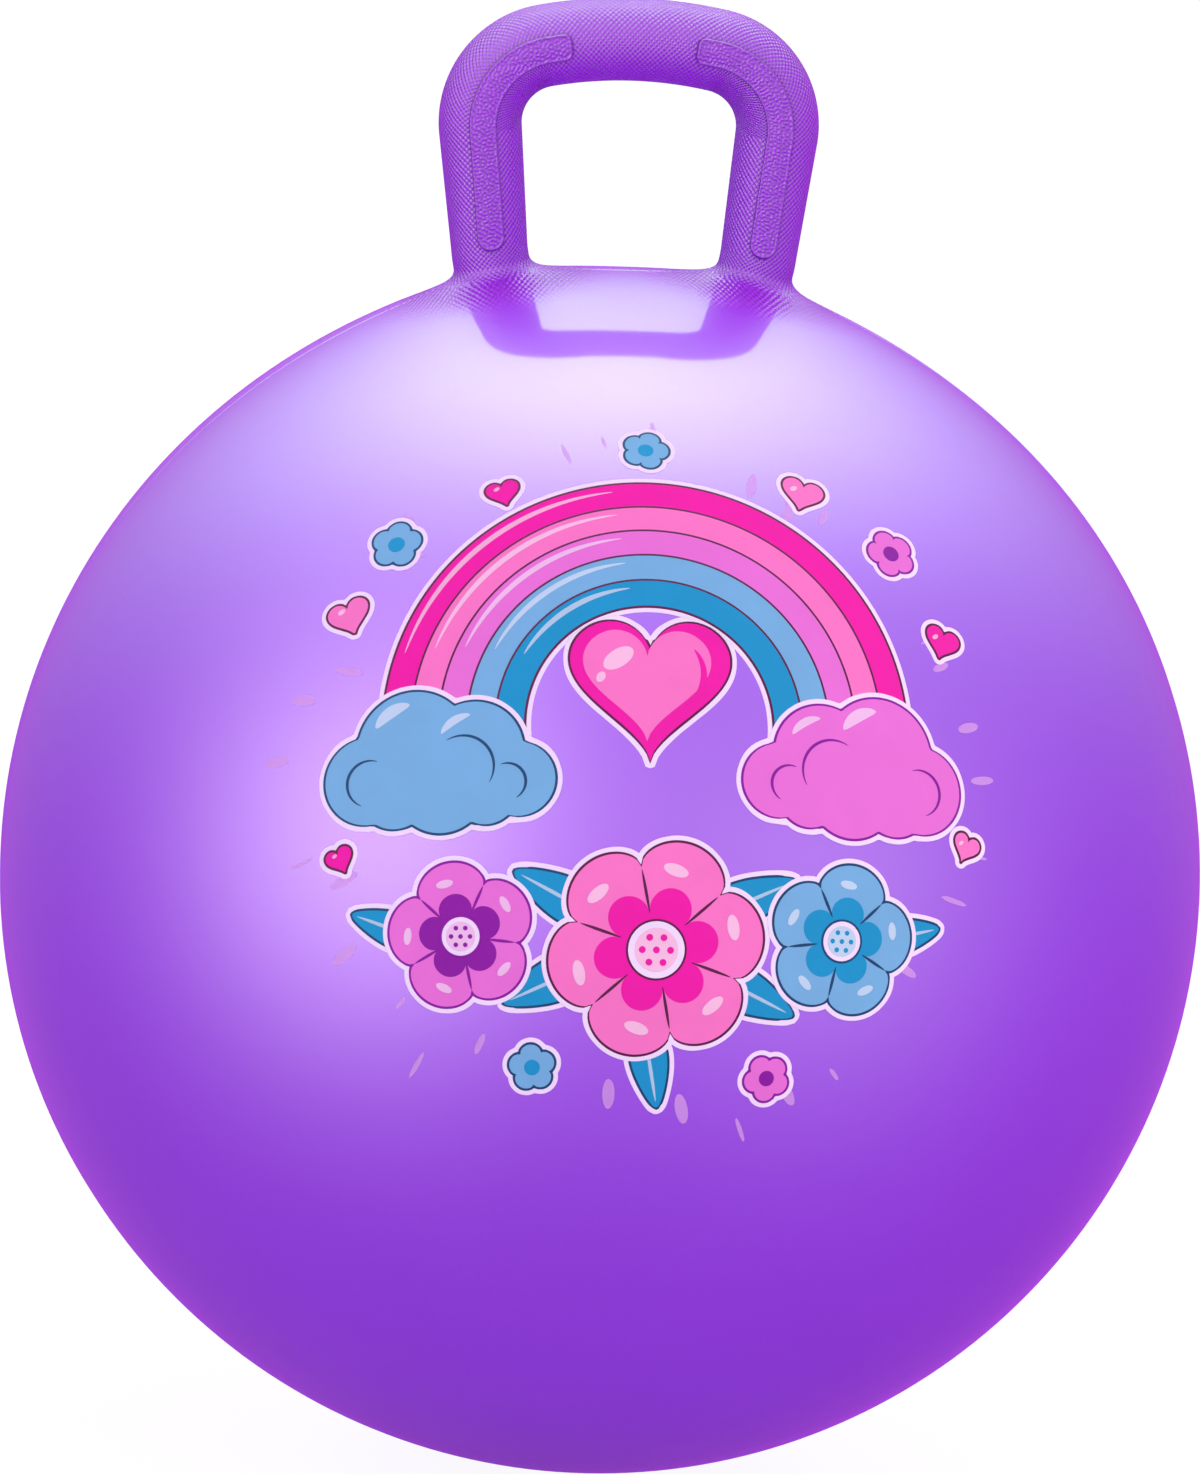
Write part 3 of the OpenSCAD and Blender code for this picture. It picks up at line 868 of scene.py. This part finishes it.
def new_material(name):
    """A node material with one Principled shader on its output."""
    material = bpy.data.materials.new(name)
    tree = bare_tree(material)
    shader = add(tree, "ShaderNodeBsdfPrincipled")
    add(tree, "ShaderNodeOutputMaterial", {"Surface": shader.outputs[0]})
    print("material", name)
    return material, tree, shader


# %% Group: dyed skin
CLOUD_SCALE, SPECK_SCALE = 14.0, 420.0

skin_group, taken, given = new_group("dyed_skin", [
    ("Colour", COLOUR, (0.2, 0.0, 0.6, 1.0)), ("Drift", FLOAT, 0.06), ("Roughness", FLOAT, 0.3),
    ("Wear", FLOAT, 0.05), ("Wave size", FLOAT, 9.0), ("Shade", FLOAT, 1.0)],
    [("Colour", COLOUR), ("Roughness", FLOAT), ("Wave", FLOAT)])
where = on_object(skin_group)
cloud, speck = noise(skin_group, where, CLOUD_SCALE, 3.0), noise(skin_group, where, SPECK_SCALE, 2.0)
swing = calc(skin_group, "SUBTRACT", calc(skin_group, "ADD", cloud, speck), 1.0)
shift = calc(skin_group, "MULTIPLY_ADD", swing, taken["Drift"], 1.0)
# the Shade input paints shade into the colour: grain valleys, pebble gaps and pad creases that the materials feed
# in
shaded = calc(skin_group, "MULTIPLY", shift, taken["Shade"])
dyed = add(skin_group, "ShaderNodeHueSaturation", {"Color": taken["Colour"], "Value": shaded}).outputs[0]
worn = calc(skin_group, "MULTIPLY_ADD", swing, taken["Wear"], taken["Roughness"])
wave = noise(skin_group, where, taken["Wave size"], 1.0)
fill(skin_group, given, {"Colour": dyed, "Roughness": worn, "Wave": wave})

# %% [markdown]
# ## Linen grain, and painted shade in creases
# The etched grain is two sets of fine diagonal ridges that cross. With coordinates in millimetres, a ridge is
# the sine of the sum or the difference of the two. Their mean makes diagonal rows of small cushions, and a
# little noise keeps them from looking ruled. The second group here paints shade: a dark line where one moulded
# form meets another, where less light gets in, as a bell over the distance from the edge.

# %% Groups: etched linen, painted crease shade
JITTER, JITTER_SCALE = 0.5, 0.4

linen_group, taken, given = new_group("etched_linen", [("Place", VECTOR, (0.0, 0.0, 0.0))], [("Cushion", FLOAT)])
place = taken["Place"]
jitter = add(linen_group, "ShaderNodeTexNoise", {"Vector": place, "Scale": JITTER_SCALE, "Detail": 1.0})
moved = calc_vector(linen_group, "MULTIPLY_ADD", jitter.outputs["Color"], (JITTER,) * 3, place)
apart = add(linen_group, "ShaderNodeSeparateXYZ", {0: moved}).outputs
ridges = []
for operation in ("ADD", "SUBTRACT"):
    diagonal = calc(linen_group, operation, apart["X"], apart["Y"])
    ridges.append(calc(linen_group, "SINE", calc(linen_group, "MULTIPLY", diagonal, math.pi / GRAIN_PITCH)))
fill(linen_group, given, {"Cushion": calc(linen_group, "MULTIPLY", calc(linen_group, "ADD", *ridges), 0.5)})

# painted shade: a dark bell over the distance from a pad's edge, where less light gets in
crease_shade_group, taken, given = new_group(
    "crease", [("Depth", FLOAT, 9.0), ("Width", FLOAT, 0.4), ("Dark", FLOAT, 0.5)], [("Shade", FLOAT)])
share = calc(crease_shade_group, "DIVIDE", taken["Depth"], taken["Width"])
square = calc(crease_shade_group, "MULTIPLY", share, share)
bell = calc(crease_shade_group, "EXPONENT", calc(crease_shade_group, "MULTIPLY", square, -1.0))
fill(crease_shade_group, given, {"Shade": calc(crease_shade_group, "SUBTRACT", 1.0,
                                         calc(crease_shade_group, "MULTIPLY", bell, taken["Dark"]))})

# %% [markdown]
# ## Vinyl for the ball and the handle
# The ball shines in two ways: a blurred mirror image, in which the handle shows upside down, over a softer
# glow. One roughness can't give both. The Principled shader's coat is a second, smooth layer over the base,
# which is what the polished mould and the softer vinyl under it amount to. Where the mould is etched, that
# layer is missing: the grain value takes the coat away, brings up the cushions and paints shade into the
# colour between them.
# Round its rim a thin skin glows with the light that runs through it, and a violet sheen stands for that.

# %% One builder for both
# the second colour is a lit copy of VIOLET: redder as painted light on the bright handle, and lighter to make up
# for the painted shade between the cushions
VIOLET, LIT_ETCHED_VIOLET = (0.31, 0.002, 0.82, 1.0), (0.47, 0.007, 1.0, 1.0)
PEARL_IOR = 1.9
GLOSS, GLOSS_BLUR, SATIN, ETCHED_SATIN, SATIN_WEAR = 0.7, 0.08, 0.46, 0.34, 0.06
GRAIN_DEPTH, GRAIN_SHADE = 0.18, 0.66
WAVE_STRENGTH, WAVE_DEPTH = 0.12, 0.002
RIM_GLOW, RIM_BLUR, RIM_TINT = 1.0, 0.34, (0.6, 0.03, 1.0, 1.0)


def etched_vinyl(name, cushion_of, drift, wave_size, crease_shade_of=None):
    """Shiny vinyl that turns into etched satin with the grain value of each point. Heights are in millimetres."""
    material, tree, shader = new_material(name)
    grain = value_of(tree, "grain")
    cushion = calc(tree, "MULTIPLY", cushion_of(tree), grain)
    # painted shade: the colour is darkened between the cushions of the grain, where less light falls
    valley_shade = calc(tree, "MULTIPLY", calc(tree, "SUBTRACT", grain, cushion), 0.5 * GRAIN_SHADE)
    shade = calc(tree, "SUBTRACT", 1.0, valley_shade)
    # painted shade along the dark line round the pads, where one is given
    if crease_shade_of:
        shade = calc(tree, "MULTIPLY", shade, crease_shade_of(tree))
    colour = add(tree, "ShaderNodeMix", {"Factor": grain, 6: VIOLET, 7: LIT_ETCHED_VIOLET}, data_type="RGBA").outputs[2]
    dye = use_group(tree, skin_group, {"Colour": colour, "Drift": drift, "Roughness": SATIN, "Wear": SATIN_WEAR,
                                       "Wave size": wave_size, "Shade": shade})
    waves = add(tree, "ShaderNodeBump", {"Height": dye["Wave"], "Strength": WAVE_STRENGTH, "Distance": WAVE_DEPTH})
    etched = calc(tree, "MULTIPLY", cushion, GRAIN_DEPTH)
    bump = add(tree, "ShaderNodeBump", {"Height": etched, "Strength": 1.0, "Distance": MM,
                                        "Normal": waves.outputs[0]})
    fill(tree, shader, {
        "Base Color": dye["Colour"],
        "Roughness": calc(tree, "MULTIPLY_ADD", grain, ETCHED_SATIN - SATIN, dye["Roughness"]),
        "Coat Weight": calc(tree, "MULTIPLY_ADD", grain, -GLOSS, GLOSS), "Coat Roughness": GLOSS_BLUR,
        "IOR": PEARL_IOR, "Coat IOR": PEARL_IOR, "Normal": bump.outputs[0],
        "Sheen Weight": RIM_GLOW, "Sheen Roughness": RIM_BLUR, "Sheen Tint": RIM_TINT})
    return material


# %% Ball
DRAWN_OUT = 2.4


def flat_linen(tree):
    """Linen grain on the flat X and Y of the object, in millimetres, drawn out along Y as the skin is there."""
    per_metre = (1.0 / MM, 1.0 / MM / DRAWN_OUT, 1.0 / MM)
    place = calc_vector(tree, "MULTIPLY", on_object(tree), per_metre)
    return use_group(tree, linen_group, {"Place": place})[0]


ball.data.materials.append(etched_vinyl("ball_vinyl", flat_linen, drift=0.05, wave_size=55.0))

# %% Handle
# width and darkness of the painted shade round the pads
CREASE_W, CREASE_DARK = 0.7, 0.28


def handle_linen(tree):
    """Grain on the tube's own map, led over to the flat grain on the feet."""
    mapped = add(tree, "ShaderNodeUVMap", uv_map="grain_mm").outputs[0]
    on_tube = use_group(tree, linen_group, {"Place": mapped})[0]
    led_over = {"Factor": value_of(tree, "flat"), 2: on_tube, 3: flat_linen(tree)}
    return add(tree, "ShaderNodeMix", led_over, data_type="FLOAT").outputs[0]


def pad_crease_shade(tree):
    """Painted shade: the dark line round the pads, from each point's distance to a pad's outline."""
    depth = value_of(tree, "pad_depth")
    return use_group(tree, crease_shade_group, {"Depth": depth, "Width": CREASE_W, "Dark": CREASE_DARK})[0]


handle.data.materials.append(etched_vinyl("handle_vinyl", handle_linen, drift=0.07, wave_size=60.0,
                                          crease_shade_of=pad_crease_shade))

# %% [markdown]
# ## Small moulded pieces
# Valve, plug and pads have no polished skin over them. They share one plain finish: dyed through, with a fine
# tooth in the shine. The pads also get painted shade: the dark line at the foot of their wall, and a darker
# tone between their pebbles.

# %% Valve, plug and pads
PEBBLE_SHADE, PAD_TINT = 0.5, (0.97, 0.88, 1.0, 1.0)
MOULDED_WEAR, TOOTH_DEPTH = 0.12, 0.0003


def moulded(name, colour, roughness, drift, tooth, scale, shade_of=None, sockets=None):
    """Dyed skin with no coat, a bump of a given scale, and values for other sockets of its shader."""
    material, tree, shader = new_material(name)
    shade = shade_of(tree) if shade_of else 1.0
    dye = use_group(tree, skin_group, {"Colour": colour, "Drift": drift, "Roughness": roughness,
                                       "Wear": MOULDED_WEAR, "Wave size": scale, "Shade": shade})
    bump = add(tree, "ShaderNodeBump", {"Height": dye["Wave"], "Strength": tooth, "Distance": TOOTH_DEPTH})
    fill(tree, shader, {"Base Color": dye["Colour"], "Roughness": dye["Roughness"], "Normal": bump.outputs[0],
                        **(sockets or {})})
    return material


def pad_shade(tree):
    """Painted shade: the handle's dark line on a pad too, and a darker tone between its pebbles."""
    # painted shade: darker between the pebbles
    between = calc(tree, "MULTIPLY_ADD", value_of(tree, "pebble"), PEBBLE_SHADE, 1.0 - PEBBLE_SHADE)
    return calc(tree, "MULTIPLY", pad_crease_shade(tree), between)


valve_rubber = moulded("valve_rubber", linear("7a30c4"), roughness=0.42, drift=0.1, tooth=0.25, scale=900.0)
plug_plastic = moulded("plug_plastic", linear("f1eee8"), roughness=0.38, drift=0.05, tooth=0.2, scale=700.0)
# the pads take the etched handle's lighter, redder violet, which holds painted light
pad_vinyl = moulded("pad_vinyl", LIT_ETCHED_VIOLET, roughness=ETCHED_SATIN, drift=0.1, tooth=0.2, scale=1100.0,
                    shade_of=pad_shade, sockets={"IOR": PEARL_IOR, "Specular Tint": PAD_TINT})
for piece, material in ((valve_cup, valve_rubber), (plug, plug_plastic), *((pad, pad_vinyl) for pad in pads)):
    piece.data.materials.append(material)

# %% [markdown]
# ## Inks
# Pad-printed ink on vinyl is thin, opaque and much duller than the skin round it, and its cover is a little
# uneven. All inks share one group for that, with their own colour. The paler tones are mixed from the plain
# ones, as a printer would do it with white. Only the confetti is thinned, so that the skin shows through it.

# %% Group: printed ink
PATCH_SCALE, TOOTH_SCALE = 60.0, 900.0
INK_SATIN, INK_TOOTH = 0.42, 0.2

ink_group, taken, given = new_group(
    "printed_ink", [("Colour", COLOUR, (1.0, 0.2, 0.6, 1.0)), ("Cover", FLOAT, 0.1)],
    [("Colour", COLOUR), ("Roughness", FLOAT), ("Height", FLOAT)])
where = on_object(ink_group)
tooth = noise(ink_group, where, TOOTH_SCALE, 2.0)
off = calc(ink_group, "SUBTRACT", noise(ink_group, where, PATCH_SCALE, 4.0), 0.5)
value = calc(ink_group, "MULTIPLY_ADD", off, taken["Cover"], 1.0)
inked = add(ink_group, "ShaderNodeHueSaturation", {"Color": taken["Colour"], "Value": value}).outputs[0]
dull = calc(ink_group, "MULTIPLY_ADD", tooth, INK_TOOTH, INK_SATIN)
fill(ink_group, given, {"Colour": inked, "Roughness": dull, "Height": tooth})

# %% Ink materials
INKS = {"pink": "ff78c4", "magenta": "f605a6", "sky": "78b2dc", "teal": "0c95c8", "orchid": "ee72d4",
        "violet": "8c059e", "plum": "5a0a46", "navy": "12406f", "halo": "fbe4fb", "confetti": "ffc0f8"}
WHITENED, SEE_THROUGH = 0.45, {"confetti": 0.5}
INK_COVER, INK_GLOSS, INK_BUMP, INK_DEPTH = 0.14, 0.25, 0.1, 0.0002


def ink_colour(ink):
    """The ink's own colour, or for a pale ink a mix of the plain one with white."""
    plain = np.array(linear(INKS[ink.removeprefix("pale_")]))
    return tuple(plain + (1.0 - plain) * (WHITENED if ink.startswith("pale_") else 0.0))


for ink, piece in ink_pieces.items():
    material, tree, shader = new_material("ink_" + ink)
    layer = use_group(tree, ink_group, {"Colour": ink_colour(ink), "Cover": INK_COVER})
    bump = add(tree, "ShaderNodeBump", {"Height": layer["Height"], "Strength": INK_BUMP, "Distance": INK_DEPTH})
    fill(tree, shader, {"Base Color": layer["Colour"], "Roughness": layer["Roughness"], "Normal": bump.outputs[0],
                        "Specular IOR Level": INK_GLOSS, "Alpha": 1.0 - SEE_THROUGH.get(ink, 0.0)})
    piece.data.materials.append(material)

# %% [markdown]
# ## Light
# A shiny ball is a picture of the room it is in, so the room matters more than the lamps. It has a wide soft
# panel overhead, a little behind the ball, a second one at the front left, a weaker one at the front right and
# a faint fill. Real panels with hard edges would draw rectangles on the skin, so each is a soft lobe of the
# world, faintly tinted by its cloth, which only shiny surfaces see. Everything else gets an even light, less of
# it from where a panel hangs, and a little from one large lamp. The camera sees plain white.

# %% World
AMBIENT, DIMMED, LEAST, ROOM = 1.57, 0.32, 0.1, 0.01
PALE_GREEN, CREAM, WHITE = (0.76, 1.0, 0.72), (1.0, 1.0, 0.72), (1.0, 1.0, 1.0)
PANELS = {"overhead": ((0.0, 0.37, 0.93), 4.7, 6.0, PALE_GREEN),
          "front_left": ((-0.728, -0.645, 0.235), 5.3, 4.3, CREAM),
          "front_right": ((0.617, -0.781, 0.1), 5.0, 1.5, CREAM),
          "fill": ((-0.19, 0.59, -0.78), 2.7, 0.1, WHITE)}

world = bpy.data.worlds.new("studio")
bpy.context.scene.world = world
world.cycles.sampling_method = "NONE"
tree = bare_tree(world)
toward = add(tree, "ShaderNodeTexCoord").outputs["Generated"]
room = (ROOM,) * 3
for name, (aim, sharp, strength, tint) in PANELS.items():
    near = add(tree, "ShaderNodeVectorMath", {0: toward, 1: Vector(aim).normalized()}, operation="DOT_PRODUCT",
               label=name)
    lobe = calc(tree, "EXPONENT", calc(tree, "MULTIPLY_ADD", near.outputs["Value"], sharp, -sharp))
    room = calc_vector(tree, "MULTIPLY_ADD", lobe, Vector(tint) * strength, room)
ray = add(tree, "ShaderNodeLightPath").outputs
mirror = calc(tree, "MAXIMUM", ray["Is Glossy Ray"], ray["Is Transmission Ray"])
even = calc_vector(tree, "MULTIPLY_ADD", room, (-DIMMED,) * 3, (AMBIENT,) * 3)
even = calc_vector(tree, "MAXIMUM", even, (LEAST,) * 3)
lit = add(tree, "ShaderNodeMix", {"Factor": mirror, 4: even, 5: room}, data_type="VECTOR").outputs[1]
seen = add(tree, "ShaderNodeMix", {"Factor": ray["Is Camera Ray"], 4: lit, 5: WHITE}, data_type="VECTOR").outputs[1]
sky = add(tree, "ShaderNodeBackground", {"Color": seen, "Strength": 1.0})
add(tree, "ShaderNodeOutputWorld", {"Surface": sky.outputs[0]})
print("panels:", *PANELS)

# %% Lamp
LAMP_AT, LAMP_AIM, LAMP_SIZE, LAMP_POWER = Vector((-0.9, -0.7, 2.3)), Vector((0.0, 0.0, 0.25)), 2.4, 1.0
lamp_data = bpy.data.lights.new("soft_lamp", "AREA")
lamp_data.shape, lamp_data.size, lamp_data.energy = "DISK", LAMP_SIZE, LAMP_POWER
lamp = bpy.data.objects.new("soft_lamp", lamp_data)
lamp.location = LAMP_AT
lamp.rotation_euler = (LAMP_AIM - LAMP_AT).to_track_quat("-Z", "Y").to_euler()
lamp.visible_glossy = False
bpy.context.scene.collection.objects.link(lamp)
print("lamp at", [round(v, 2) for v in LAMP_AT])

# %% [markdown]
# ## Floor
# The ball stands on a sheet of pale paper that is too wide for an edge to show. For the camera most of it is
# glow, which makes it as white as the background, and the rest is matte and holds the shadow. For other rays it
# glows less: just enough that the underside of the ball isn't dark.

# %% Floor
FLOOR_HALF, PAPER, GLOW = 60.0, 0.88, 1.12
GLOW_SEEN, GLOW_UNSEEN = 0.82, 0.22
floor_mesh = bpy.data.meshes.new("floor")
floor_mesh.from_pydata([(x * FLOOR_HALF, y * FLOOR_HALF, 0.0) for x, y in ((-1, -1), (1, -1), (1, 1), (-1, 1))],
                       [], [(0, 1, 2, 3)])
floor = bpy.data.objects.new("floor", floor_mesh)
bpy.context.scene.collection.objects.link(floor)
floor.visible_glossy = False
paper = bpy.data.materials.new("floor_paper")
tree = bare_tree(paper)
matte = add(tree, "ShaderNodeBsdfDiffuse", {"Color": (PAPER, PAPER, PAPER, 1.0)})
glow = add(tree, "ShaderNodeEmission", {"Color": (*WHITE, 1.0), "Strength": GLOW})
seen = add(tree, "ShaderNodeLightPath").outputs["Is Camera Ray"]
share = calc(tree, "MULTIPLY_ADD", seen, GLOW_SEEN - GLOW_UNSEEN, GLOW_UNSEEN)
mixed = add(tree, "ShaderNodeMixShader", {0: share, 1: matte.outputs[0], 2: glow.outputs[0]})
add(tree, "ShaderNodeOutputMaterial", {"Surface": mixed.outputs[0]})
floor_mesh.materials.append(paper)
print("floor", 2.0 * FLOOR_HALF, "m wide")

# %% [markdown]
# ## Camera
# The photograph was taken with a long lens from a little above the ball's middle and a little to the left of
# its front, and the toy leans slightly to the right in it. The camera is placed by those angles round the
# ball's centre. Its aim is a little above that centre, so that ball and handle fill the frame.

# %% Camera
CAMERA_TURN, CAMERA_RISE, CAMERA_ROLL = (math.radians(v) for v in (-4.5, 8.5, 2.2))
CAMERA_AWAY, AIM_UP, LENS = 8.0, 0.052, 512.8

back = Vector((math.sin(CAMERA_TURN) * math.cos(CAMERA_RISE), -math.cos(CAMERA_TURN) * math.cos(CAMERA_RISE),
               math.sin(CAMERA_RISE)))
turned_to = (-back).to_track_quat("-Z", "Y").to_matrix() @ Matrix.Rotation(CAMERA_ROLL, 3, "Z")
camera_data = bpy.data.cameras.new("camera")
camera_data.lens, camera_data.sensor_width = LENS, 36.0
camera = bpy.data.objects.new("camera", camera_data)
camera.matrix_world = Matrix.Translation(Vector((0.0, 0.0, BALL_Z * MM)) + back * CAMERA_AWAY
                                         + turned_to.col[1] * AIM_UP) @ turned_to.to_4x4()
bpy.context.scene.collection.objects.link(camera)
bpy.context.scene.camera = camera
bpy.context.scene.view_settings.view_transform = "Standard"
print("camera at", [round(v, 3) for v in camera.location])
